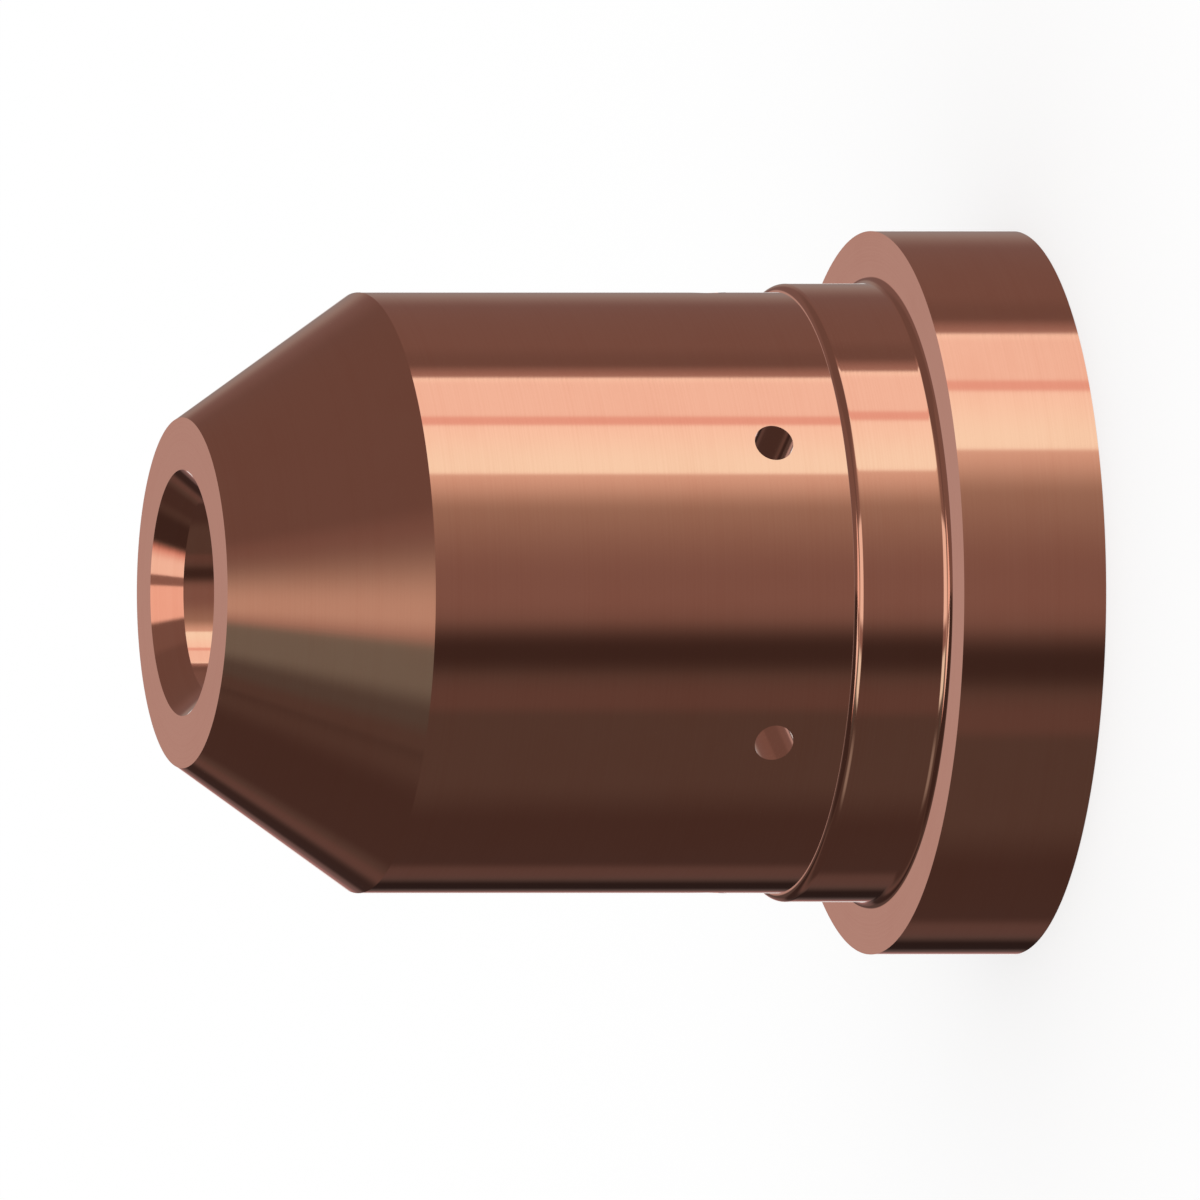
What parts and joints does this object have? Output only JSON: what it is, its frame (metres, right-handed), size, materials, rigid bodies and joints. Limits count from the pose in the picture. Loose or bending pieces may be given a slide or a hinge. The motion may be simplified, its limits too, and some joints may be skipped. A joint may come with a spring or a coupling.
{
  "type": "plasma torch nozzle",
  "caption": "Turned copper nozzle with a conical nose, a countersunk mouth, a ring of small radial gas vents, a raised land and a flange at the back.",
  "frame": {"origin": "centre of the flange's back face, on the bore's axis", "axes": "+Z along the bore's axis towards the nose, +X through the middle of one of the gas vents"},
  "size_m": [0.0164, 0.0164, 0.0196],
  "materials": {
    "copper": "polished"
  },
  "bodies": {
    "root": {"nozzle": "copper"}
  },
  "joints": []
}
